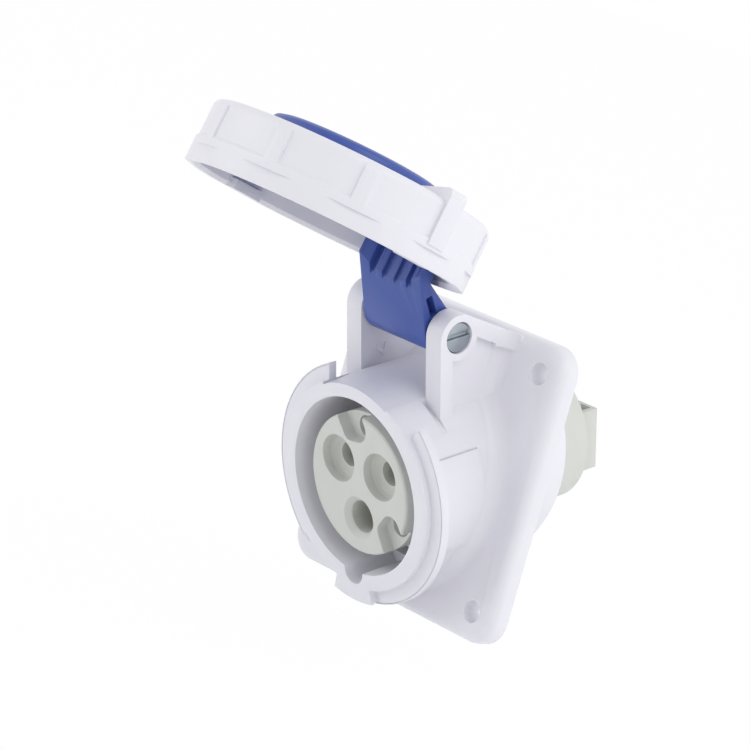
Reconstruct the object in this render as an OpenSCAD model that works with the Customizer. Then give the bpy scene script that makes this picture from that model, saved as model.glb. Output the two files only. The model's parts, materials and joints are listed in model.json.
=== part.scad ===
// Sloping industrial panel socket with a hinged lid and a bayonet ring.
// Millimetres. X right, Y into the panel, Z up. The origin is the centre of
// the flange's back face. The front faces -Y and the barrel points down.
// The lid is drawn fully open, the ring unlocked.

/* [Flange] */
// side of the square mounting flange
flange_side = 75; // [65:0.5:110]
// thickness of the flange
flange_t = 5.5; // [4:0.1:10]
// radius of the flange's corners
flange_corner = 7; // [4:0.5:14]
// rounding of the flange's front edge
flange_round = 2.6; // [0.5:0.1:3.5]
// distance of the mounting holes from the flange's edges
hole_inset = 7.5; // [6:0.1:12]
// radius of a mounting hole
hole_r = 2.75; // [1.5:0.05:4]
// radial width of the panel gasket
gasket_w = 3.2; // [2:0.1:4]
// depth of the gasket's groove
gasket_t = 1.4; // [0.8:0.1:2.5]

/* [Barrel] */
// slope of the barrel against the flange's normal, degrees
tilt = 20; // [5:1:25]
// length of the barrel's axis in front of the flange
axis_len = 21.45; // [18:0.05:40]
// drop of the barrel's axis below the flange's centre, at its front
axis_drop = 2.2; // [0:0.1:6]
// radius of the bore that takes the plug
bore_r = 22.5; // [20:0.1:30]
// wall of the barrel
barrel_wall = 3.95; // [2.5:0.05:6]
// depth of the bore from the rim
bore_depth = 35; // [30:0.5:50]
// radius of the concave fillet at the flange
fillet_r = 4.6; // [3:0.1:8]
// radius of the keyway's round channel
key_r = 3.4; // [2:0.1:4.5]
// depth of the keyway
key_depth = 15.5; // [8:0.5:16]
// how far the side panels stand out
panel_proud = 0.55; // [0.2:0.05:1.5]
// length of the side panels from the rim
panel_end = 18.6; // [10:0.1:21]

/* [Collar] */
// height of the bayonet collar above the barrel
collar_h = 3.95; // [2.8:0.05:5]
// setback of the collar's front from the rim
collar_front = 2; // [1:0.1:4]
// thickness of the collar
collar_t = 2.2; // [1.5:0.1:4]
// gap for the arm and the first lug, from this angle
gap_a = 44.2; // [38:0.1:46]
// second gap, from this angle
gap_c = 224; // [220:0.1:226]
// second gap, to this angle
gap_d = 256; // [246:0.1:258]

/* [Rear skirt] */
// how much wider the skirt behind the flange is than the bore
skirt_over = 2.7; // [2.3:0.1:4]
// length of the skirt
skirt_len = 18; // [12:0.5:30]
// height of the skirt's centre above the flange's
skirt_up = 2.1; // [0:0.1:4]
// wall of the skirt
skirt_wall = 2; // [1.2:0.1:3]
// thickness of the floor between bore and skirt
floor_t = 3; // [2:0.1:5]

/* [Contact carrier] */
// width of the gap around the carrier, for the plug's shroud
shroud_gap = 4.7; // [4:0.1:6]
// setback of the carrier's face from the rim
carrier_front = 1.6; // [0.5:0.1:6]
// radius of the circle of contacts
contact_circle = 8.9; // [8.5:0.1:11]
// radius of the counterbores over the two pole contacts
pole_bore_r = 5.97; // [4.5:0.01:6.2]
// depth of those counterbores
pole_bore_t = 3.7; // [1:0.1:5]
// radius of the pole pin holes
pole_hole_r = 3.1; // [2.7:0.05:3.6]
// radius of the earth pin hole
earth_hole_r = 4.1; // [3.7:0.05:4.6]
// chamfer at the earth pin hole
earth_chamfer = 1.4; // [0.4:0.1:1.8]
// radius of the screw notches' round end
notch_r = 3.25; // [3:0.05:3.5]
// radius of the circle of carrier screws
screw_circle = 14.2; // [14:0.05:14.6]
// depth of the notches' wide part
notch_t = 3.3; // [1:0.1:6]
// radius of a carrier screw's shank
fix_r = 1.5; // [1.2:0.05:1.7]
// length of a carrier screw's shank in the terminal body
fix_len = 12; // [6:0.5:16]

/* [Contacts] */
// bore of the pole contacts
pole_r = 2.5; // [2:0.05:2.6]
// bore of the earth contact
earth_r = 3.5; // [3:0.05:3.6]
// wall of the contact sleeves
sleeve_wall = 0.9; // [0.6:0.05:1.1]
// length of the contact sleeves
sleeve_len = 21; // [15:0.5:24]
// setback of the pole contacts behind the carrier's face
pole_set = 8.2; // [6:0.1:9]
// setback of the earth contact behind the carrier's face
earth_set = 7.8; // [3:0.1:9]
// length of the spring collars
spring_len = 5; // [3:0.1:8]
// thickness of the spring collars
spring_t = 0.5; // [0.3:0.05:0.7]
// side of the square terminals
terminal_side = 6.4; // [5.6:0.1:7.2]
// radius of a wire hole in a terminal
wire_r = 2; // [1.2:0.1:2.2]
// radius of a terminal screw
clamp_r = 1.5; // [1.2:0.1:1.7]

/* [Terminal body] */
// radius of the terminal body behind the flange
rear_r = 18.8; // [18.2:0.1:20]
// distance of its back face from the rim
rear_end = 60.5; // [58:0.5:72]
// width of the wire guide
guide_w = 31.4; // [29:0.1:34]
// height of the wire guide
guide_h = 15.9; // [13:0.1:18]
// depth of the wire guide
guide_t = 5.5; // [3:0.1:9]

/* [Hinge] */
// distance of the hinge pin behind the rim
pin_y = 18.2; // [17.6:0.1:19]
// height of the hinge pin above the barrel
pin_up = 12.75; // [12.2:0.05:15]
// radius of the hinge pin
pin_r = 2.5; // [2:0.05:3]
// radius of the pin's head
pin_head_r = 3.9; // [3.2:0.05:4.5]
// opening angle of the lid, as drawn
lid_open = 124.5; // [95:0.5:130]
// radius of the ears around the pin
ear_r = 5.8; // [5.4:0.1:6.4]
// thickness of the ears
ear_t = 5.4; // [4.5:0.1:7]
// radius of the fillet between ears and flange
ear_fillet = 4; // [2:0.1:5]
// depth of the recess in the ears' outer faces
recess_t = 1.5; // [0.6:0.1:3]
// width of the ears' front border
ear_border = 3.8; // [2:0.1:5]
// height of the ears' top beam
beam_h = 4; // [2.5:0.1:5.5]

/* [Lid] */
// radius of the lid's raised disc
dome_r = 22; // [18:0.1:24]
// height of the disc's edge in front of the rim
dome_front = 9.9; // [8:0.1:13]
// extra height of the disc's middle
dome_rise = 1; // [0.5:0.1:3]
// rounding of the disc's edge
dome_round = 1.3; // [0.5:0.1:2]
// front of the lid's flange before the rim
lid_front = 4.5; // [4:0.1:6]
// thickness of the lid's flange
lid_t = 3; // [2:0.1:3.2]
// width of the lid's arm
arm_w = 22.5; // [16:0.1:23]
// width of the grooves in the arm
groove_w = 2.1; // [1:0.1:2.6]
// depth of those grooves
groove_t = 0.8; // [0.4:0.1:1.2]
// radius of the arm's knuckle
knuckle_r = 5.5; // [4.5:0.1:5.6]
// slope of the arm's inner side
arm_slope = 40; // [36:0.5:42]

/* [Ring] */
// thickness of the ring's wall
ring_t = 2.3; // [1.8:0.1:4]
// front of the ring before the rim
ring_front = 6.8; // [6.5:0.1:8.5]
// back edge of the ring behind the rim
ring_back = 9.2; // [8:0.1:9.4]
// width of the gap between collar and ring
ring_gap = 2.8; // [2.4:0.1:4]
// thickness of the ring's front
ring_plate = 2; // [1.4:0.1:2]
// rounding of the ring's front edge
ring_round = 1.9; // [0.6:0.1:2.2]
// how far ribs and band stand out
rib_proud = 0.5; // [0.2:0.05:1]
// width of a rib, degrees
rib_w = 6; // [4:0.5:10]
// front edge of the band behind the rim
band_front = 3.2; // [1:0.1:5]
// number of ribs
rib_count = 10; // [6:1:16]
// rise of the ring's grip bar
grip_rise = 2.7; // [1:0.1:4]
// width of the grip bar
grip_w = 5.4; // [3:0.1:9]
// turn from unlocked to locked, degrees
ring_turn = 50; // [20:1:60]

/* [Fits] */
// running clearance around the hinge pin
pin_gap = 0.05; // [0.02:0.01:0.1]
// clearance between moving parts
move_gap = 0.3; // [0.2:0.05:0.5]
// gap between the lid's arm and the barrel
arm_gap = 0.35; // [0.3:0.05:0.8]
// gap between the lid's arm and an ear
ear_gap = 0.75; // [0.4:0.05:1.5]
// interference of pressed and threaded parts
press = 0.05; // [0.02:0.01:0.1]

/* [Hidden] */
$fn = 96;
eps = 0.01;
hole_pitch = flange_side - 2 * hole_inset;
barrel_r = bore_r + barrel_wall;
collar_r = barrel_r + collar_h;
collar_back = collar_front + collar_t;
skirt_r = bore_r + skirt_over;
relief_x = arm_w / 2 + arm_gap;
relief_t = 0.65;
relief_end = 9.5;
pin_z = barrel_r + pin_up;
pin_row_y = flange_t + pin_z * sin(tilt) - (pin_y - axis_len) * cos(tilt);
pin_row_z = pin_z * cos(tilt) + (pin_y - axis_len) * sin(tilt) - axis_drop;
ear_front = pin_y - ear_r;
ear_in = arm_w / 2 + ear_gap;
ear_out = ear_in + ear_t;
ear_fall = 8.5;
carrier_r = bore_r - shroud_gap;
pole_front = carrier_front + pole_set;
earth_front = carrier_front + earth_set;
carrier_base = bore_depth - 2.8;
floor_back = bore_depth + floor_t;
passage_r = rear_r + 0.3;
pole_out = pole_r + sleeve_wall;
earth_out = earth_r + sleeve_wall;
chamber_gap = 0.3;
term_front = bore_depth + 10;
term_end = rear_end - 3.3;
clamp_y = term_end - 6;
peg_x = guide_w / 2 - 3.1;
gasket_r = skirt_r + 3.4;
ring_in = collar_r + ring_gap;
ring_r = ring_in + ring_t;
lid_r = ring_in - 2 * move_gap;
lid_back = lid_front - lid_t;
arm_in = barrel_r + arm_gap;
arm_out = collar_r + 0.2;
grip_out = ring_r + rib_proud + 0.3;
top_a = 102.7;
low_a = -42.85;
screw_off = 9.7;
fix_head_r = notch_r - 0.75;

// y of the flange's front plane at height z, in the barrel's frame
function plane_y(z) = axis_len + z * tan(tilt);

// places the barrel's frame: origin at the rim's centre, Y back along the axis
module barrel_frame() {
    translate([0, -flange_t, -axis_drop])
        rotate([tilt, 0, 0])
            translate([0, -axis_len, 0]) children();
}

// swings closed parts to the open lid
module lid_frame() {
    barrel_frame()
        translate([0, pin_y, pin_z])
            rotate([-lid_open, 0, 0])
                translate([0, -pin_y, -pin_z]) children();
}

// round body about the barrel's axis, from y0 to y1
module round_bar(r, y0, y1) {
    translate([0, y0, 0]) rotate([-90, 0, 0]) cylinder(r = r, h = y1 - y0);
}

// turned body about the barrel's axis, its profile given as radius and y
module turned(a0 = 0, a1 = 360) {
    rotate([-90, 0, 0]) rotate_extrude(start = -a1, angle = a1 - a0) children();
}

// part of a ring between two angles
module ring_part(r0, r1, y0, y1, a0, a1) {
    turned(a0, a1) translate([r0, y0]) square([r1 - r0, y1 - y0]);
}

// outline seen from the front, carried from y0 back to y1
module seen_front(y0, y1) {
    translate([0, y1, 0]) rotate([90, 0, 0]) linear_extrude(y1 - y0) children();
}

// outline seen from the right (y, z), carried from x0 to x1
module seen_side(x0, x1) {
    translate([x0, 0, 0]) rotate([90, 0, 90]) linear_extrude(x1 - x0) children();
}

// moves to a point of a circle about the barrel's axis
module at_polar(r, a) {
    translate([r * cos(a), 0, r * sin(a)]) children();
}

// puts the children at the live, neutral and earth contact
module at_live() { at_polar(contact_circle, 150) children(); }
module at_neutral() { at_polar(contact_circle, 30) children(); }
module at_earth() { at_polar(contact_circle, 270) children(); }

// ---- housing ----

// flange with a rounded front edge
module flange_plate() {
    half = flange_side / 2 - flange_corner;
    hull()
        for (x = [-half, half], z = [-half, half])
            translate([x, 0, z]) rotate([90, 0, 0]) {
                cylinder(r = flange_corner, h = flange_t - flange_round, $fn = 32);
                for (a = [18 : 18 : 90])
                    translate([0, 0, flange_t - flange_round])
                        cylinder(r = flange_corner - flange_round * (1 - cos(a)),
                            h = flange_round * sin(a), $fn = 32);
            }
}

// fall-off of the fillet's rings, from the barrel down to the flange
function ring_height(i, steps) = fillet_r * pow(1 - i / steps, 1.6);

// how far the fillet stands out from the barrel at height h
function ring_spread(h) = fillet_r - sqrt(pow(fillet_r, 2) - pow(fillet_r - h, 2));

// concave skin between barrel and flange, as rings of points
module root_fillet() {
    steps = 7;
    count = 72;
    limit = flange_side / 2 - flange_round;
    heights = concat([fillet_r * 0.92], [for (i = [1 : steps]) ring_height(i, steps)], [-1]);
    spread = concat([-0.6], [for (i = [1 : steps]) ring_spread(ring_height(i, steps))], [fillet_r]);
    rings = len(heights);
    points = [for (i = [0 : rings - 1], k = [0 : count - 1])
        let (a = 360 * k / count, e = spread[i], h = heights[i])
        [(barrel_r + e) * cos(a), -flange_t - h,
            (barrel_r / cos(tilt) + e) * sin(a) - axis_drop - h * tan(tilt)]];
    sides = [for (i = [0 : rings - 2], k = [0 : count - 1])
        let (n = (k + 1) % count)
        each [[i * count + k, i * count + n, (i + 1) * count + n],
            [i * count + k, (i + 1) * count + n, (i + 1) * count + k]]];
    intersection() {
        polyhedron(points = points, faces = concat([[for (k = [count - 1 : -1 : 0]) k]], sides,
            [[for (k = [0 : count - 1]) (rings - 1) * count + k]]), convexity = 4);
        translate([-limit, -flange_t - 20, -limit]) cube([2 * limit, 30, 2 * limit]);
    }
}

// side outline of an ear, running into the flange
module ear_outline() {
    top = 90 - ear_fall - tilt;
    ty = pin_y + ear_r * cos(top);
    tz = pin_z + ear_r * sin(top);
    run = (plane_y(tz) + 1.6 - ty) / (cos(top - 90) - sin(top - 90) * tan(tilt));
    ez = tz + run * sin(top - 90);
    translate([pin_y, pin_z]) circle(r = ear_r);
    polygon([[ear_front, bore_r / 2], [ear_front, pin_z], [pin_y, pin_z], [ty, tz],
        [ty + run * cos(top - 90), ez], [plane_y(bore_r / 2) + 1.6, bore_r / 2]]);
}

// recess in an ear's outer face, bounded by border, boss and beam
module ear_recess() {
    top = 90 - ear_fall - tilt;
    ty = pin_y + (ear_r - beam_h) * cos(top);
    tz = pin_z + (ear_r - beam_h) * sin(top);
    run = (plane_y(tz) - ty) / (cos(top - 90) - sin(top - 90) * tan(tilt));
    difference() {
        polygon([[ear_front + ear_border, 0], [ear_front + ear_border, pin_z], [ty, tz],
            [ty + run * cos(top - 90), tz + run * sin(top - 90)], [plane_y(0), 0]]);
        translate([pin_y, pin_z]) circle(r = ear_r);
    }
}

module ear(side) {
    mirror([side < 0 ? 1 : 0, 0, 0])
        difference() {
            union() {
                seen_side(ear_in, ear_out) ear_outline();
                // raised mark on the inner face
                seen_side(ear_in - 0.4, ear_in + 1) translate([pin_y, barrel_r])
                    polygon([[-1.3, 1.75], [1.25, -0.65], [1.9, -0.55], [2.6, 2.45], [1.7, 2.65],
                        [1.2, 0.75], [-0.7, 2.55]]);
            }
            seen_side(ear_out - recess_t, ear_out + 1) ear_recess();
        }
}

// concave fillet between the flange and an upright face at x, from z0 to z1
module foot_fillet(x, z0, z1) {
    r = ear_fillet;
    translate([x, -flange_t, z0]) linear_extrude(z1 - z0)
        polygon([[-1, 1], [-1, -r], for (a = [0 : 15 : 90]) [r - r * cos(a), -r + r * sin(a)], [r, 1]]);
}

// fillets at the foot of an ear, beside its beam and beside its web
module ear_feet(side) {
    beam_z = pin_row_z + (ear_r - (pin_row_y - flange_t) * sin(ear_fall)) / cos(ear_fall);
    mirror([side < 0 ? 1 : 0, 0, 0]) {
        foot_fillet(ear_out - recess_t, bore_r * 0.8, beam_z - beam_h + 0.5);
        foot_fillet(ear_out, beam_z - beam_h, beam_z);
    }
}

// bayonet collar with its two gaps and the thick part at the keyway
module collar() {
    ring_part(barrel_r - 1, collar_r, collar_front, collar_back, 100 - 360, gap_c - 360);
    ring_part(barrel_r - 1, collar_r, collar_front, collar_back, gap_d - 360, gap_a);
    ring_part(barrel_r - 1, collar_r - 0.2, 0, collar_back - 0.4, gap_d, gap_d + 27);
}

// what is taken off the barrel's outside
module barrel_cuts() {
    // clearance for the lid's arm, running out towards the ears
    difference() {
        seen_front(-1, relief_end) translate([-relief_x, 0]) square([2 * relief_x, collar_r + 1]);
        turned() polygon([[0, -2], [barrel_r - relief_t, -2], [barrel_r - relief_t, 0],
            [barrel_r + 0.07, relief_end + 1], [0, relief_end + 1]]);
    }
    // groove in front of the ears, deeper towards the middle
    for (s = [-1, 1])
        seen_front(ear_front - 1.7, ear_front) difference() {
            translate([s * (ear_in + 4) - 4, barrel_r / 2]) square([8, barrel_r / 2]);
            translate([s * 3.3, -3.25]) circle(r = barrel_r);
        }
    // fine groove along the collar's edge
    ring_part(collar_r - 0.45, collar_r - 0.2, collar_front - 1, collar_front + 0.3, 0, 360);
    // fine grooves around the side panels
    for (a = [-24, 152]) {
        ring_part(barrel_r - 0.35, barrel_r + 1, collar_back, panel_end + 0.35, a - 0.8, a);
        ring_part(barrel_r - 0.35, barrel_r + 1, collar_back, panel_end + 0.35, a + 52, a + 52.8);
        ring_part(barrel_r - 0.35, barrel_r + 1, panel_end, panel_end + 0.35, a - 0.8, a + 52.8);
    }
}

// everything solid that lies along the barrel's axis in front of the flange
module barrel_solids() {
    difference() {
        union() {
            round_bar(barrel_r, 0, axis_len + 16);
            collar();
            ring_part(barrel_r - 1, barrel_r + panel_proud, collar_back - 1, panel_end, -24, 28);
            ring_part(barrel_r - 1, barrel_r + panel_proud, collar_back - 1, panel_end, 152, 204);
        }
        barrel_cuts();
    }
    seen_front(collar_front, axis_len) translate([0, -bore_r]) circle(r = key_r + 2);
    ear(1);
    ear(-1);
}

module housing() {
    difference() {
        union() {
            flange_plate();
            root_fillet();
            ear_feet(1);
            ear_feet(-1);
            // barrel, cut off inside the flange
            intersection() {
                barrel_frame() barrel_solids();
                translate([-60, -120, -60]) cube([120, 120 - flange_t / 2, 120]);
            }
            // skirt behind the flange, square to it
            translate([0, -1, skirt_up]) rotate([-90, 0, 0])
                cylinder(r = skirt_r, h = skirt_len + 1);
            // rear wall of the bore where it passes below the skirt
            intersection() {
                barrel_frame() round_bar(bore_r + 2.3, axis_len, bore_depth);
                translate([-60, -1, -60]) cube([120, 10, 120]);
            }
        }
        barrel_frame() {
            round_bar(bore_r, -1, bore_depth);
            seen_front(-1, key_depth) translate([0, -bore_r]) circle(r = key_r);
            round_bar(passage_r, bore_depth - 1, bore_depth + 30);
            // bores for the hinge pin, the head let into the right ear
            seen_side(-ear_out - 1, ear_out + 1) translate([pin_y, pin_z])
                circle(r = pin_r - press);
            seen_side(ear_out - 1.6, ear_out + 1) translate([pin_y, pin_z])
                circle(r = pin_head_r + 0.1);
        }
        // room inside the skirt, behind the floor
        intersection() {
            translate([0, 2, skirt_up]) rotate([-90, 0, 0])
                cylinder(r = skirt_r - skirt_wall, h = skirt_len);
            barrel_frame() translate([-40, floor_back, -40]) cube([80, 60, 80]);
        }
        for (x = [-1, 1], z = [-1, 1])
            translate([x * hole_pitch / 2, 1, z * hole_pitch / 2]) rotate([90, 0, 0])
                cylinder(r = hole_r, h = flange_t + 2);
        // groove for the panel gasket
        translate([0, -gasket_t, 0]) rotate([-90, 0, 0]) rotate_extrude()
            translate([gasket_r, 0]) square([gasket_w, gasket_t + 1]);
    }
}

module panel_gasket() {
    translate([0, -gasket_t, 0]) rotate([-90, 0, 0]) rotate_extrude()
        translate([gasket_r + 0.3, 0]) square([gasket_w - 0.6, gasket_t]);
}

// ---- contact carrier ----

// outline of a carrier screw's notch, its round end towards the given side
module notch_outline(a, side) {
    rotate(a) mirror([0, side < 0 ? 1 : 0]) hull() {
        translate([screw_circle * cos(screw_off), screw_circle * sin(screw_off)])
            circle(r = notch_r, $fn = 32);
        translate([screw_circle - 0.9, -0.6]) circle(r = notch_r - 0.95, $fn = 32);
        translate([carrier_r + 0.7, -5.1]) square([0.1, 9.5]);
    }
}

module pole_well() {
    round_bar(pole_bore_r, carrier_front - 1, carrier_front + pole_bore_t - 1.2);
    turned() translate([0, carrier_front + pole_bore_t - 1.2])
        polygon([[0, 0], [pole_bore_r, 0], [pole_bore_r - 0.5, 0.8], [pole_bore_r - 1.6, 1.2], [0, 1.2]]);
    round_bar(pole_hole_r, carrier_front, bore_depth - 5);
    round_bar(pole_out + spring_t + chamber_gap, pole_front - 0.6, bore_depth + 1);
}

module earth_well() {
    turned() polygon([[0, carrier_front - eps], [earth_hole_r + earth_chamfer, carrier_front - eps],
        [earth_hole_r, carrier_front + earth_chamfer], [0, carrier_front + earth_chamfer]]);
    round_bar(earth_hole_r, carrier_front, bore_depth - 5);
    round_bar(earth_out + spring_t + chamber_gap, earth_front - 0.2, bore_depth + 1);
}

module contact_carrier() {
    barrel_frame() difference() {
        union() {
            turned() polygon([[0, carrier_front], [carrier_r - 0.4, carrier_front],
                [carrier_r, carrier_front + 0.4], [carrier_r, carrier_base + 1], [0, carrier_base + 1]]);
            round_bar(bore_r - 0.4, carrier_base, bore_depth);
        }
        at_live() pole_well();
        at_neutral() pole_well();
        at_earth() earth_well();
        for (s = [[top_a, -1], [low_a, 1]]) {
            seen_front(carrier_front - 1, carrier_front + notch_t) notch_outline(s[0], s[1]);
            at_polar(screw_circle, s[0] + s[1] * screw_off) {
                round_bar(fix_head_r + 0.3, carrier_front, carrier_base);
                round_bar(fix_r + 0.3, carrier_base - 1, bore_depth + 1);
            }
        }
    }
}

// screw that holds the carrier to the terminal body, its head above the base
module carrier_screw(a) {
    face = carrier_base - move_gap;
    barrel_frame() at_polar(screw_circle, a) difference() {
        union() {
            turned() polygon([[0, face - 2.2], [fix_head_r - 0.8, face - 2.2],
                [fix_head_r, face - 1.4], [fix_head_r, carrier_base], [0, carrier_base]]);
            round_bar(fix_r, carrier_base - 1, bore_depth + fix_len);
        }
        for (t = [0, 90])
            translate([0, face - 1.6, 0]) rotate([0, t, 0])
                cube([fix_head_r * 1.2, 1.6, 0.8], center = true);
    }
}

// ---- contacts ----

// sleeve with a stem and a square terminal, along the barrel's axis
module contact(r, front) {
    out = r + sleeve_wall;
    difference() {
        union() {
            round_bar(out, front, bore_depth - eps);
            round_bar(min(out, terminal_side / 2), front + sleeve_len - 2, bore_depth + 1);
            translate([-terminal_side / 2, bore_depth, -terminal_side / 2])
                cube([terminal_side, term_end - bore_depth, terminal_side]);
        }
        round_bar(r, front - 1, front + sleeve_len - 2.2);
        round_bar(wire_r, term_front, term_end + 1);
        translate([0, clamp_y, 0]) rotate([180, 0, 0])
            cylinder(r = clamp_r - press, h = terminal_side);
    }
}

// open spring collar around a contact sleeve
module sleeve_spring(r, front) {
    out = r + sleeve_wall;
    turned(-75, 255) translate([out - press, front + spring_len * 0.6])
        square([spring_t + press, spring_len]);
}

// slotted screw under a terminal
module clamp_screw() {
    head_z = -terminal_side / 2 - 0.9;
    difference() {
        union() {
            translate([0, clamp_y, -wire_r - 0.1]) rotate([180, 0, 0])
                cylinder(r = clamp_r, h = terminal_side / 2);
            translate([0, clamp_y, head_z]) rotate([180, 0, 0]) cylinder(r = clamp_r + 0.4, h = 2.2);
        }
        translate([-3, clamp_y - 0.3, head_z - 2.7]) cube([6, 0.6, 1.4]);
    }
}

module live_contact() { barrel_frame() at_live() contact(pole_r, pole_front); }
module neutral_contact() { barrel_frame() at_neutral() contact(pole_r, pole_front); }
module earth_contact() { barrel_frame() at_earth() contact(earth_r, earth_front); }
module live_spring() { barrel_frame() at_live() sleeve_spring(pole_r, pole_front); }
module neutral_spring() { barrel_frame() at_neutral() sleeve_spring(pole_r, pole_front); }
module earth_spring() { barrel_frame() at_earth() sleeve_spring(earth_r, earth_front); }
module live_screw() { barrel_frame() at_live() clamp_screw(); }
module neutral_screw() { barrel_frame() at_neutral() clamp_screw(); }
module earth_screw() { barrel_frame() at_earth() clamp_screw(); }

// ---- terminal body ----

// pocket for a terminal, its wire hole and the way to its screw
module terminal_pocket() {
    side = terminal_side;
    translate([-side / 2, bore_depth - 1, -side / 2]) cube([side, term_end - bore_depth + 1, side]);
    round_bar(wire_r + 0.5, term_end - 1, rear_end + 1);
    translate([0, clamp_y, 0]) rotate([180, 0, 0])
        cylinder(r = clamp_r + 0.8, h = rear_r + 8);
}

module terminal_body() {
    barrel_frame() difference() {
        union() {
            turned() polygon([[0, bore_depth], [rear_r, bore_depth], [rear_r, rear_end - 0.5],
                [rear_r - 0.5, rear_end], [0, rear_end]]);
            round_bar(rear_r + 2.2, floor_back, floor_back + 2);
        }
        at_live() terminal_pocket();
        at_neutral() terminal_pocket();
        at_earth() terminal_pocket();
        for (a = [top_a - screw_off, low_a + screw_off])
            at_polar(screw_circle, a)
                round_bar(fix_r - press, bore_depth - 1, bore_depth + fix_len + 1);
        for (x = [-peg_x, peg_x])
            translate([x, 0, -2.5]) round_bar(1.5 - press, rear_end - 3.4, rear_end + 1);
    }
}

// block that spreads the wires behind the terminal body
module wire_guide() {
    barrel_frame() {
        difference() {
            translate([-guide_w / 2, rear_end, -guide_h / 2]) cube([guide_w, guide_t, guide_h]);
            at_live() round_bar(wire_r + 0.8, rear_end - 1, rear_end + guide_t + 1);
            at_neutral() round_bar(wire_r + 0.8, rear_end - 1, rear_end + guide_t + 1);
            at_earth() round_bar(wire_r + 1.4, rear_end - 1, rear_end + guide_t + 1);
            for (s = [-1, 1])
                translate([s * peg_x - 1.6, rear_end + 1, guide_h / 2 - 4])
                    cube([3.2, guide_t - 2, 5]);
        }
        for (x = [-peg_x, peg_x])
            translate([x, 0, -2.5]) round_bar(1.5, rear_end - 3, rear_end + 1);
    }
}

// ---- hinge and lid ----

module hinge_pin() {
    barrel_frame() difference() {
        union() {
            seen_side(-ear_out + 1, ear_out - 1) translate([pin_y, pin_z]) circle(r = pin_r);
            seen_side(ear_out - 1.6, ear_out) translate([pin_y, pin_z]) circle(r = pin_head_r);
        }
        translate([ear_out - 0.9, pin_y - 5, pin_z - 0.7]) rotate([8, 0, 0]) cube([2, 10, 1.4]);
    }
}

// y of the arm's sloping inner side at height z
function slope_y(z) = pin_y + (knuckle_r + cos(arm_slope) * (z - pin_z)) / sin(arm_slope);

// y of the arm's outer side at height z
function back_y(z) = pin_y - 3.97 + (z - pin_z - 1.48) * 0.3735;

module lid_arm() {
    low = arm_in - 3;
    // straight part beside the barrel
    intersection() {
        ring_part(arm_in, arm_out, -lid_front + 0.5, 12.4, 40, 140);
        seen_side(-arm_w / 2, arm_w / 2)
            polygon([[-lid_front, arm_in - 8], [slope_y(arm_in - 8), arm_in - 8],
                [slope_y(arm_out), arm_out], [slope_y(arm_out), arm_out + 2], [-lid_front, arm_out + 2]]);
    }
    // riser to the knuckle
    difference() {
        seen_side(-arm_w / 2, arm_w / 2) {
            polygon([[back_y(low), low], [slope_y(low) + 0.2, low],
                [pin_y + knuckle_r * sin(arm_slope), pin_z - knuckle_r * cos(arm_slope)],
                [pin_y, pin_z], [back_y(pin_z + 1.48), pin_z + 1.48]]);
            translate([pin_y, pin_z]) circle(r = knuckle_r);
        }
        round_bar(arm_in, -5, 30);
    }
}

module lid() {
    lid_frame() difference() {
        union() {
            turned() {
                polygon([[0, -dome_front - dome_rise],
                    for (k = [1 : 4]) [k * 4.9, -dome_front - dome_rise * (1 - pow(k * 4.9 / dome_r, 2))],
                    [dome_r - dome_round * 0.6, -dome_front + dome_round * 0.22],
                    [dome_r - dome_round * 0.2, -dome_front + dome_round * 0.6],
                    [dome_r, -dome_front + dome_round * 1.2],
                    [dome_r, -lid_back - 0.5], [0, -lid_back - 0.5]]);
                translate([0, -lid_front]) square([lid_r, lid_t]);
            }
            lid_arm();
        }
        // hollow under the disc
        turned() polygon([[0, -dome_front + 1.6], [dome_r - 3.4, -dome_front + 2.4],
            [dome_r - 2.4, -lid_back + 1], [0, -lid_back + 1]]);
        // seat of the gasket
        ring_part(bore_r - 0.9, barrel_r - 0.1, -lid_back - 1, -lid_back + 1, 0, 360);
        seen_side(-arm_w, arm_w) translate([pin_y, pin_z]) circle(r = pin_r + pin_gap);
        // grooves on the arm's inner side
        for (k = [-1.5 : 1.5])
            translate([arm_w * 0.196 * k - groove_w / 2, -lid_back + 0.5, arm_in - 6])
                cube([groove_w, 20, 6 + groove_t]);
        // pockets in the arm's sides
        for (s = [-1, 1])
            seen_side(s * arm_w / 2 - 2.5, s * arm_w / 2 + 2.5) translate([pin_y, pin_z])
                polygon([[-4.68, -9.62], [-6.2, -8.39], [-3.14, -4.3], [-1.41, -5.39]]);
    }
}

module lid_gasket() {
    lid_frame()
        ring_part(bore_r - 0.7, barrel_r - 0.3, -lid_back - 1, -move_gap, 0, 360);
}

// ---- locking ring ----

// part of the ring's wall seen from the side, from inside to outside
module ring_wall() {
    turned() polygon([[dome_r + 0.6, -ring_front],
        for (a = [0 : 15 : 90]) [ring_r - ring_round * (1 - sin(a)), -ring_front + ring_round * (1 - cos(a))],
        [ring_r, band_front - 0.6], [ring_r + rib_proud, band_front], [ring_r + rib_proud, ring_back],
        [ring_in + 0.8, ring_back], [ring_in, ring_back - 1], [ring_in, -ring_front + ring_plate],
        [dome_r + 0.6, -ring_front + ring_plate]]);
}

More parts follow.
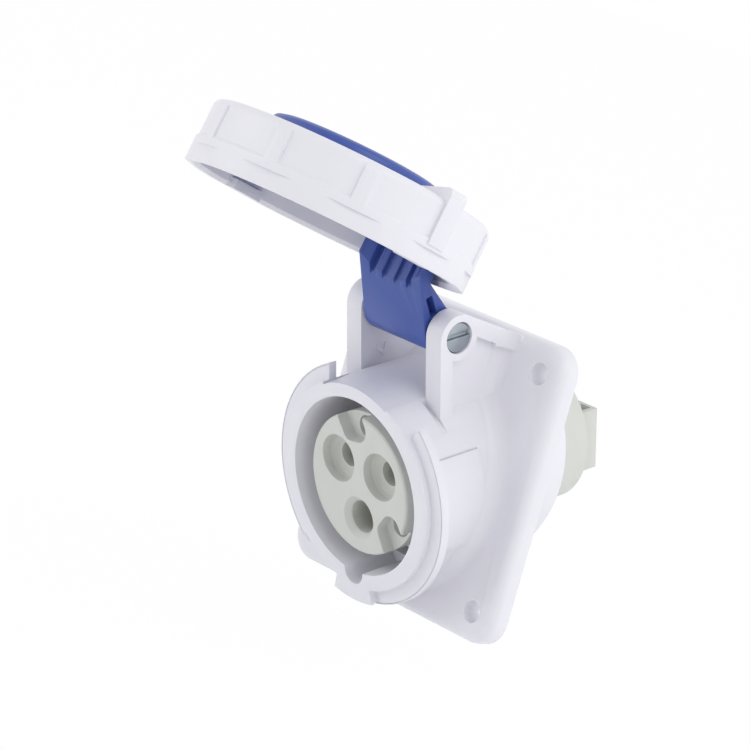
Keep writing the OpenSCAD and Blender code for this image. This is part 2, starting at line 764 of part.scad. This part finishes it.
module locking_ring() {
    rib_a = 360 / rib_count;
    flat_r = (ring_r + rib_proud) * cos(11.15);
    lid_frame() difference() {
        union() {
            ring_wall();
            for (k = [0 : rib_count - 1])
                turned(k * rib_a - rib_w / 2, k * rib_a + rib_w / 2)
                    polygon([[ring_in + 1, -ring_front + 1.2], [ring_r - 0.2, -ring_front + 1.2],
                        [ring_r + rib_proud, -ring_front + 2.2], [ring_r + rib_proud, band_front],
                        [ring_in + 1, band_front]]);
            // grip bar, rising towards the edge
            grip_bar();
            // bead that holds the ring on the lid's flange
            turned() polygon([[ring_in + 0.5, -lid_back + 0.3], [lid_r - 0.7, -lid_back + 0.5],
                [lid_r - 0.7, -lid_back + 1], [ring_in + 0.5, -lid_back + 1.6]]);
            // bayonet lugs, and pads that keep the ring centred on the collar
            for (a = [47, 227])
                ring_part(collar_r - 2.2, ring_in + 0.5, collar_back + 1, collar_back + 3.2, a, a + 16.5);
            for (a = [169, 349])
                ring_part(collar_r + 0.6, ring_in + 1, 6.8, ring_back, a, a + 16.5);
        }
        for (k = [0 : rib_count - 1])
            rotate([0, -k * rib_a, 0]) translate([flat_r, 5.1, -9]) cube([5, 10, 18]);
    }
}

// grip bar across the ring's front
module grip_bar() {
    translate([0, 0, -grip_w / 2]) linear_extrude(grip_w)
        polygon([[dome_r + 1, -ring_front + 0.3], [dome_r + 1, -ring_front - 0.1],
            [grip_out - 1.4, -ring_front - grip_rise], [grip_out - 0.5, -ring_front - grip_rise + 0.4],
            [grip_out, -ring_front - grip_rise + 1.4], [grip_out, band_front + 1], [ring_in + 1, band_front + 1],
            [ring_in + 1, -ring_front + 0.5]]);
}

color("#e9e8f0") housing();
color("#3a3b3e") panel_gasket();
color("#cfd1ca") contact_carrier();
color("#9aa0a6") carrier_screw(top_a - screw_off);  // carrier_screw_top
color("#9aa0a6") carrier_screw(low_a + screw_off);  // carrier_screw_low
color("#c9ccc6") terminal_body();
color("#c9ccc6") wire_guide();
color("#c9a24a") live_contact();
color("#c9a24a") neutral_contact();
color("#c9a24a") earth_contact();
color("#a9adb3") live_spring();
color("#a9adb3") neutral_spring();
color("#a9adb3") earth_spring();
color("#9aa0a6") live_screw();
color("#9aa0a6") neutral_screw();
color("#9aa0a6") earth_screw();
color("#8b98a6") hinge_pin();
color("#4a63b8") lid();
color("#3a3b3e") lid_gasket();
color("#e9e8f0") locking_ring();
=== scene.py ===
import json
import math

import bmesh
import bpy
from mathutils import Matrix, Vector


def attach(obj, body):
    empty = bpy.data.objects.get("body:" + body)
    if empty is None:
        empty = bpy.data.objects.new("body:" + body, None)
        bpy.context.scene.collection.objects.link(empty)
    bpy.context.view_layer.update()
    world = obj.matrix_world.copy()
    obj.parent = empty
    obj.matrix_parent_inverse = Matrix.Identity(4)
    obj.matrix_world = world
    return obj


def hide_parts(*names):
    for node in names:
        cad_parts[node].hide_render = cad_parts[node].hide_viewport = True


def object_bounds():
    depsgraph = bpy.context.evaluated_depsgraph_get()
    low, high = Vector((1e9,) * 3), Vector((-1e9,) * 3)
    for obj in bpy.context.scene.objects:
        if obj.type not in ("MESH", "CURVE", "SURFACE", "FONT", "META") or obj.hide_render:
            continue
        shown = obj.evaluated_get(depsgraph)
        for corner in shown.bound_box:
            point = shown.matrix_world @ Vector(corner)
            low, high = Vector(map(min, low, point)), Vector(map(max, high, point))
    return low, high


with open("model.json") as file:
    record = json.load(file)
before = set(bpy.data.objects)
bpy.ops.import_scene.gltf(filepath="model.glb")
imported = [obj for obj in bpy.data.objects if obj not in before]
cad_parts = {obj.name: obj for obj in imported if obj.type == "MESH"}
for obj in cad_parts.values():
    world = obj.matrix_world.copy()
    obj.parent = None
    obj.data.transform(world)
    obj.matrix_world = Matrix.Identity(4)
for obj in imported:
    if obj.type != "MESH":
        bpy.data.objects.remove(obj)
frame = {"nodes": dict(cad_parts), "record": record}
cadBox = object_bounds()
nodes = frame["nodes"]
print("frame loaded:", len(nodes), "nodes")


class Wire:
    # a shader socket that takes part in plain arithmetic
    def __init__(self, tree, socket):
        self.tree = tree
        self.socket = socket

    def node(self, kind, values=None, **settings):
        made = self.tree.nodes.new(kind)
        for name, value in settings.items():
            if name == "stops":
                ramp = made.color_ramp
                while len(ramp.elements) < len(value):
                    ramp.elements.new(0.5)
                for element, (place, colour) in zip(ramp.elements, value):
                    element.position = place
                    element.color = colour
            else:
                setattr(made, name, value)
        for name, value in (values or {}).items():
            target = made.inputs[name]
            if isinstance(value, Wire):
                self.tree.links.new(value.socket, target)
            elif value is not None:
                target.default_value = value
        return made

    def take(self, kind, output, values=None, **settings):
        return Wire(self.tree, self.node(kind, values, **settings).outputs[output])

    def maths(self, operation, *others, clamp=False):
        return self.take("ShaderNodeMath", 0, dict(enumerate((self,) + others)),
                         operation=operation, use_clamp=clamp)

    def __add__(self, other):
        return self.maths("ADD", other)

    __radd__ = __add__

    def __mul__(self, other):
        return self.maths("MULTIPLY", other)

    __rmul__ = __mul__

    def __sub__(self, other):
        return self.maths("SUBTRACT", other)

    def __rsub__(self, other):
        return Wire(self.tree, self.node("ShaderNodeMath", {0: other, 1: self}, operation="SUBTRACT").outputs[0])

    def clamped(self):
        return self.maths("ADD", 0.0, clamp=True)


def newMaterial(name):
    material = bpy.data.materials.new(name)
    material.use_nodes = True
    tree = material.node_tree
    shader = tree.nodes["Principled BSDF"]
    place = Wire(tree, tree.nodes.new("ShaderNodeTexCoord").outputs["Object"])
    return material, tree, shader, place


def blendColours(place, mask, first, second):
    return place.take("ShaderNodeMix", 2, {0: mask, 6: first, 7: second}, data_type="RGBA")


plasticLooks = {
    "white": {"colour": (0.775, 0.77, 0.826, 1), "second": (0.75, 0.745, 0.806, 1), "rough": 0.40,
              "grain": 0.10, "grainScale": 2200.0, "waviness": 0.05},
    "grey": {"colour": (0.62, 0.635, 0.605, 1), "second": (0.585, 0.60, 0.57, 1), "rough": 0.5,
             "grain": 0.10, "grainScale": 2400.0, "waviness": 0.05},
    "blue": {"colour": (0.052, 0.098, 0.372, 1), "second": (0.044, 0.085, 0.34, 1), "rough": 0.36,
             "grain": 0.06, "grainScale": 2200.0, "waviness": 0.04},
    "seal": {"colour": (0.05, 0.05, 0.055, 1), "second": (0.07, 0.07, 0.075, 1), "rough": 0.8,
             "grain": 0.2, "grainScale": 1500.0, "waviness": 0.1},
}


def mouldedPlastic(name, look):
    material, tree, shader, place = newMaterial(name)
    clouds = place.take("ShaderNodeTexNoise", 0, {"Vector": place, "Scale": 70.0, "Detail": 3.0})
    flow = place.take("ShaderNodeTexNoise", 0, {"Vector": place, "Scale": 260.0, "Detail": 2.0})
    fine = place.take("ShaderNodeTexNoise", 0, {"Vector": place, "Scale": look["grainScale"], "Detail": 2.0})
    colour = blendColours(place, (clouds * 0.7 + flow * 0.3).clamped(), look["colour"], look["second"])
    tree.links.new(colour.socket, shader.inputs["Base Color"])
    rough = look["rough"] + (clouds - 0.5) * 0.14 + (fine - 0.5) * 0.08
    tree.links.new(rough.socket, shader.inputs["Roughness"])
    height = fine * look["grain"] + flow * look["waviness"]
    bump = place.take("ShaderNodeBump", "Normal", {"Height": height, "Strength": 1.0, "Distance": 0.0001})
    tree.links.new(bump.socket, shader.inputs["Normal"])
    shader.inputs["IOR"].default_value = 1.46
    return material


metalLooks = {
    "steel": {"colour": (0.47, 0.52, 0.57, 1), "dull": (0.35, 0.39, 0.43, 1), "rough": 0.34},
    "brass": {"colour": (0.72, 0.56, 0.28, 1), "dull": (0.52, 0.38, 0.18, 1), "rough": 0.3},
}


def drawnMetal(name, look):
    material, tree, shader, place = newMaterial(name)
    streaks = place.take("ShaderNodeTexNoise", 0, {"Vector": place, "Scale": 900.0, "Detail": 4.0})
    patches = place.take("ShaderNodeTexNoise", 0, {"Vector": place, "Scale": 240.0, "Detail": 3.0})
    shader.inputs["Metallic"].default_value = 1.0
    colour = blendColours(place, (patches * 1.6 - 0.3).clamped(), look["colour"], look["dull"])
    tree.links.new(colour.socket, shader.inputs["Base Color"])
    rough = look["rough"] + (streaks - 0.5) * 0.25
    tree.links.new(rough.socket, shader.inputs["Roughness"])
    bump = place.take("ShaderNodeBump", "Normal", {"Height": streaks, "Strength": 0.15, "Distance": 0.00005})
    tree.links.new(bump.socket, shader.inputs["Normal"])
    return material


materials = {name: mouldedPlastic(name + "Plastic", look) for name, look in plasticLooks.items()}
materials.update({name: drawnMetal(name + "Metal", look) for name, look in metalLooks.items()})

finishOf = {"housing": "white", "locking_ring": "white", "lid": "blue", "contact_carrier": "grey",
            "terminal_body": "grey", "wire_guide": "grey", "panel_gasket": "seal", "lid_gasket": "seal"}


def finishFor(name):
    return finishOf.get(name, "brass" if name.endswith("_contact") else "steel")


for name, obj in nodes.items():
    obj.data.materials.clear()
    obj.data.materials.append(materials[finishFor(name)])
print("materials set")

bodyOf = {name: body for body, names in frame["record"]["behaviour"]["bodies"].items() for name in names}

# width of the rounded edges of each moulded or turned piece, in metres
mergeWithin = 2e-6
flatWithin = math.radians(0.6)
smoothBelow = 38
edgeLooks = {
    "housing": {"width": 0.00045, "angle": 28, "segments": 3},
    "locking_ring": {"width": 0.00030, "angle": 24, "segments": 3},
    "lid": {"width": 0.00035, "angle": 30, "segments": 3},
    "contact_carrier": {"width": 0.00030, "angle": 30, "segments": 3},
    "terminal_body": {"width": 0.00030, "angle": 30, "segments": 2},
    "wire_guide": {"width": 0.00040, "angle": 30, "segments": 2},
    "hinge_pin": {"width": 0.00012, "angle": 30, "segments": 2},
}


def plainMesh(obj):
    # the evaluated shape as a mesh without modifiers
    depsgraph = bpy.context.evaluated_depsgraph_get()
    return bpy.data.meshes.new_from_object(obj.evaluated_get(depsgraph), depsgraph=depsgraph)


def softenEdges(mesh, angle):
    # smooth shading, split where two faces meet at more than the angle
    bm = bmesh.new()
    bm.from_mesh(mesh)
    limit = math.radians(angle)
    for face in bm.faces:
        face.smooth = True
    for edge in bm.edges:
        edge.smooth = len(edge.link_faces) == 2 and edge.calc_face_angle(0.0) < limit
    bm.to_mesh(mesh)
    bm.free()


# the pin's head: sunk into its seat with a gap around it, its slot level with the barrel's axis
pinLook = {"turn": -8, "headThick": 0.0012, "narrower": 0.93, "sink": 0.00035}


def settlePin(mesh, look):
    low, high = ([pick(v.co[i] for v in mesh.vertices) for i in range(3)] for pick in (min, max))
    centre = Vector((0, (low[1] + high[1]) / 2, (low[2] + high[2]) / 2))
    turn = Matrix.Rotation(math.radians(look["turn"]), 3, "X")
    for vertex in mesh.vertices:
        place = turn @ (vertex.co - centre)
        if vertex.co.x > high[0] - look["headThick"]:
            place = Vector((place.x - look["sink"], place.y * look["narrower"], place.z * look["narrower"]))
        vertex.co = place + centre


def dress(name, look):
    mesh = nodes[name].data.copy()
    mesh.name = name + "Skin"
    if name == "hinge_pin":
        settlePin(mesh, pinLook)
    bm = bmesh.new()
    bm.from_mesh(mesh)
    bmesh.ops.remove_doubles(bm, verts=bm.verts, dist=mergeWithin)
    bmesh.ops.dissolve_limit(bm, angle_limit=flatWithin, verts=bm.verts, edges=bm.edges)
    bm.to_mesh(mesh)
    bm.free()
    skin = bpy.data.objects.new(name + "Skin", mesh)
    bpy.context.scene.collection.objects.link(skin)
    bevel = skin.modifiers.new("edges", "BEVEL")
    bevel.width = look["width"]
    bevel.segments = look["segments"]
    bevel.limit_method = "ANGLE"
    bevel.angle_limit = math.radians(look["angle"])
    bevel.miter_outer = "MITER_ARC"
    bevel.use_clamp_overlap = True
    final = plainMesh(skin)
    skin.modifiers.remove(bevel)
    skin.data = final
    softenEdges(final, smoothBelow)
    final.materials.clear()
    final.materials.append(materials[finishFor(name)])
    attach(skin, bodyOf[name])
    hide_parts(name)
    print(name, "dressed:", len(final.polygons), "faces")
    return skin


for name, look in edgeLooks.items():
    dress(name, look)

# screws: a chamfered head with one or two slots on a plain shank, along the head's outward Z
screwLooks = {
    "terminalScrews": {"nodes": ("live_screw", "neutral_screw", "earth_screw"), "out": "down",
                       "headHeight": 0.0019, "chamfer": 0.0003, "shank": 0.0015,
                       "slotWidth": 0.0006, "slotLength": 0.0080, "slotDepth": 0.0009, "cross": False},
    "carrierScrews": {"nodes": ("carrier_screw_top", "carrier_screw_low"), "out": "front",
                      "headHeight": 0.0019, "chamfer": 0.0005, "shank": 0.0015,
                      "slotWidth": 0.0008, "slotLength": 0.0028, "slotDepth": 0.0010, "cross": True},
}


def screwTree():
    tree = bpy.data.node_groups.new("screwSet", "GeometryNodeTree")
    tree.is_modifier = True
    link = tree.links.new
    socket = tree.interface.new_socket
    socket("Geometry", in_out="INPUT", socket_type="NodeSocketGeometry")
    for name in ("headRadius", "headHeight", "chamfer", "shankRadius", "shankLength", "slotWidth", "slotLength",
                 "slotDepth"):
        socket(name, in_out="INPUT", socket_type="NodeSocketFloat")
    socket("cross", in_out="INPUT", socket_type="NodeSocketBool")
    socket("turn", in_out="INPUT", socket_type="NodeSocketRotation")
    socket("finish", in_out="INPUT", socket_type="NodeSocketMaterial")
    socket("Geometry", in_out="OUTPUT", socket_type="NodeSocketGeometry")
    given = tree.nodes.new("NodeGroupInput").outputs
    result = tree.nodes.new("NodeGroupOutput").inputs[0]

    def put(kind, values=None, **settings):
        made = tree.nodes.new(kind)
        for name, value in settings.items():
            setattr(made, name, value)
        for name, value in (values or {}).items():
            target = made.inputs[name]
            if isinstance(value, bpy.types.NodeSocket):
                link(value, target)
            else:
                target.default_value = value
        return made

    def maths(operation, first, second):
        return put("ShaderNodeMath", {0: first, 1: second}, operation=operation).outputs[0]

    def lifted(geometry, height):
        place = put("ShaderNodeCombineXYZ", {"Z": height}).outputs[0]
        return put("GeometryNodeTransform", {"Geometry": geometry, "Translation": place}).outputs[0]

    # the head's body, its chamfer and the shank, stacked along Z with the head's face at 0
    low = maths("SUBTRACT", given["headHeight"], given["chamfer"])
    body = put("GeometryNodeMeshCylinder", {"Vertices": 40, "Radius": given["headRadius"], "Depth": low})
    bodyAt = maths("MULTIPLY", maths("ADD", given["headHeight"], given["chamfer"]), -0.5)
    top = put("GeometryNodeMeshCone", {"Vertices": 40, "Radius Bottom": given["headRadius"],
                                       "Radius Top": maths("SUBTRACT", given["headRadius"], given["chamfer"]),
                                       "Depth": given["chamfer"]})
    shank = put("GeometryNodeMeshCylinder", {"Vertices": 32, "Radius": given["shankRadius"],
                                             "Depth": given["shankLength"]})
    # the shank starts a little inside the head
    depth = maths("ADD", given["shankLength"], maths("MULTIPLY", given["headHeight"], 1.9))
    shankAt = maths("MULTIPLY", depth, -0.5)
    solid = put("GeometryNodeMeshBoolean", operation="UNION", solver="EXACT")
    for geometry, height in ((body, bodyAt), (top, maths("MULTIPLY", given["chamfer"], -1.0)), (shank, shankAt)):
        link(lifted(geometry.outputs[0], height), solid.inputs["Mesh 2"])

    # one slot, or two crossed ones
    size = put("ShaderNodeCombineXYZ", {"X": given["slotLength"], "Y": given["slotWidth"],
                                        "Z": maths("MULTIPLY", given["slotDepth"], 2.0)})
    slot = put("GeometryNodeMeshCube", {"Size": size.outputs[0]}).outputs[0]
    crossing = put("GeometryNodeTransform", {"Geometry": slot, "Rotation": (0, 0, math.pi / 2)}).outputs[0]
    once = put("GeometryNodeMeshBoolean", {"Mesh 1": solid.outputs[0]}, operation="DIFFERENCE", solver="EXACT")
    link(slot, once.inputs["Mesh 2"])
    twice = put("GeometryNodeMeshBoolean", {"Mesh 1": once.outputs[0]}, operation="DIFFERENCE", solver="EXACT")
    link(crossing, twice.inputs["Mesh 2"])
    cut = put("GeometryNodeSwitch", {0: given["cross"], 1: once.outputs[0], 2: twice.outputs[0]},
              input_type="GEOMETRY")

    screws = put("GeometryNodeInstanceOnPoints", {"Points": given["Geometry"], "Instance": cut.outputs[0],
                                                  "Rotation": given["turn"]})
    real = put("GeometryNodeRealizeInstances", {"Geometry": screws.outputs[0]})
    painted = put("GeometryNodeSetMaterial", {"Geometry": real.outputs[0], "Material": given["finish"]})
    link(painted.outputs[0], result)
    return tree


def turnedBox(name, tilt):
    # a node's lowest and highest corner in axes turned about X by the barrel's slope
    spin = Matrix.Rotation(-tilt, 3, "X")
    points = [spin @ v.co for v in nodes[name].data.vertices]
    return [Vector([pick(p[i] for p in points) for i in range(3)]) for pick in (min, max)]


def placeScrews(name, look, tree):
    down = look["out"] == "down"
    along = 2 if down else 1
    spin = Matrix.Rotation(barrelTilt, 3, "X")
    boxes = [turnedBox(node, barrelTilt) for node in look["nodes"]]
    heads = []
    for low, high in boxes:
        head = (low + high) / 2
        head[along] = low[along]
        heads.append(spin @ head)
    low, high = boxes[0]
    mesh = bpy.data.meshes.new(name)
    mesh.from_pydata(heads, [], [])
    screws = bpy.data.objects.new(name, mesh)
    bpy.context.scene.collection.objects.link(screws)
    modifier = screws.modifiers.new("screwSet", "NODES")
    modifier.node_group = tree
    turn = (spin @ (Matrix.Rotation(math.pi, 3, "X") if down else Matrix.Rotation(math.pi / 2, 3, "X"))).to_euler()
    values = {"headRadius": (high[0] - low[0]) / 2, "headHeight": look["headHeight"], "chamfer": look["chamfer"],
              "shankRadius": look["shank"], "shankLength": high[along] - low[along] - look["headHeight"] * 0.95,
              "slotWidth": look["slotWidth"], "slotLength": look["slotLength"], "slotDepth": look["slotDepth"],
              "cross": look["cross"], "turn": turn, "finish": materials["steel"]}
    for item in tree.interface.items_tree:
        if item.in_out == "INPUT" and item.name in values:
            modifier[item.identifier] = values[item.name]
    final = plainMesh(screws)
    screws.modifiers.clear()
    screws.data = final
    softenEdges(final, screwSmoothBelow)
    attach(screws, bodyOf[look["nodes"][0]])
    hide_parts(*look["nodes"])
    print(name, "placed:", len(final.polygons), "faces")


barrelTilt = math.radians(20)
screwSmoothBelow = 30
screwNodes = screwTree()
for name, look in screwLooks.items():
    placeScrews(name, look, screwNodes)

cameraLook = {"place": (0.59004, -0.603835, 0.142425), "turn": (81.12555, -15.31207, 48.09445), "lens": 166.542}
cameraData = bpy.data.cameras.new("camera")
cameraData.lens = cameraLook["lens"]
cameraData.sensor_width = 36.0
cameraData.clip_end = 20.0
camera = bpy.data.objects.new("camera", cameraData)
camera.location = cameraLook["place"]
camera.rotation_euler = [math.radians(a) for a in cameraLook["turn"]]
bpy.context.scene.collection.objects.link(camera)
bpy.context.scene.camera = camera

floorLook = {"drop": 0.012, "half": 4.0, "glow": 0.96, "colour": (0.9, 0.9, 0.9, 1), "lift": 0.12}


def seenDirectly(place):
    # 1 where the camera, a mirror or clear glass looks straight at the surface
    path = place.node("ShaderNodeLightPath")
    rays = [Wire(place.tree, path.outputs[n]) for n in ("Is Camera Ray", "Is Glossy Ray", "Is Transmission Ray")]
    return (rays[0] + rays[1] + rays[2]).clamped()


def paleFloor(look):
    z = cadBox[0][2] - look["drop"]
    h = look["half"]
    mesh = bpy.data.meshes.new("floor")
    mesh.from_pydata([(-h, -h, z), (h, -h, z), (h, h, z), (-h, h, z)], [], [(0, 1, 2, 3)])
    floor = bpy.data.objects.new("floor", mesh)
    bpy.context.scene.collection.objects.link(floor)
    material, tree, shader, place = newMaterial("floorPaper")
    shader.inputs["Base Color"].default_value = look["colour"]
    shader.inputs["Roughness"].default_value = 0.95
    shader.inputs["Specular IOR Level"].default_value = 0.0
    shader.inputs["Emission Color"].default_value = (1, 1, 1, 1)
    shader.inputs["Emission Strength"].default_value = look["lift"]
    glow = place.take("ShaderNodeEmission", 0, {"Color": (1, 1, 1, 1), "Strength": 1.0})
    mixed = place.take("ShaderNodeMixShader", 0, {0: seenDirectly(place) * look["glow"],
                                                  1: Wire(tree, shader.outputs[0]), 2: glow})
    tree.links.new(mixed.socket, tree.nodes["Material Output"].inputs["Surface"])
    mesh.materials.append(material)


paleFloor(floorLook)

lampLooks = {
    "key": {"place": (1.1, -0.35, 1.1), "size": 1.0, "power": 5.6},
    "fill": {"place": (-0.9, -1.1, 0.35), "size": 1.0, "power": 3.8},
}


def softLamp(name, look):
    data = bpy.data.lights.new(name, "AREA")
    data.shape = "DISK"
    data.size = look["size"]
    data.energy = look["power"]
    lamp = bpy.data.objects.new(name, data)
    lamp.location = look["place"]
    lamp.rotation_euler = (-Vector(look["place"])).to_track_quat("-Z", "Y").to_euler()
    bpy.context.scene.collection.objects.link(lamp)


for name, look in lampLooks.items():
    softLamp(name, look)

# light from each side: the sides as seen from the front right corner, where the camera stands
worldLook = {"right": 1.75, "left": 0.9, "front": 0.35, "back": 0.75, "above": 0.7, "seen": 1.0}
worldSides = {"right": (0.7071, 0.7071, 0), "left": (-0.7071, -0.7071, 0), "front": (0.7071, -0.7071, 0),
              "back": (-0.7071, 0.7071, 0), "above": (0, 0, 1)}


def studioWorld(look):
    world = bpy.data.worlds.new("studio")
    world.use_nodes = True
    bpy.context.scene.world = world
    tree = world.node_tree
    sky = tree.nodes["Background"]
    sky.inputs["Color"].default_value = (1, 1, 1, 1)
    way = Wire(tree, tree.nodes.new("ShaderNodeTexCoord").outputs["Generated"])
    light = 0.0
    for side, towards in worldSides.items():
        facing = way.take("ShaderNodeVectorMath", "Value", {0: way, 1: towards}, operation="DOT_PRODUCT")
        light = facing.maths("MAXIMUM", 0.0).maths("POWER", 2.0) * look[side] + light
    strength = light + seenDirectly(way) * (look["seen"] - light)
    tree.links.new(strength.socket, sky.inputs["Strength"])


studioWorld(worldLook)
bpy.context.scene.view_settings.view_transform = "Standard"
print("lights and camera set")
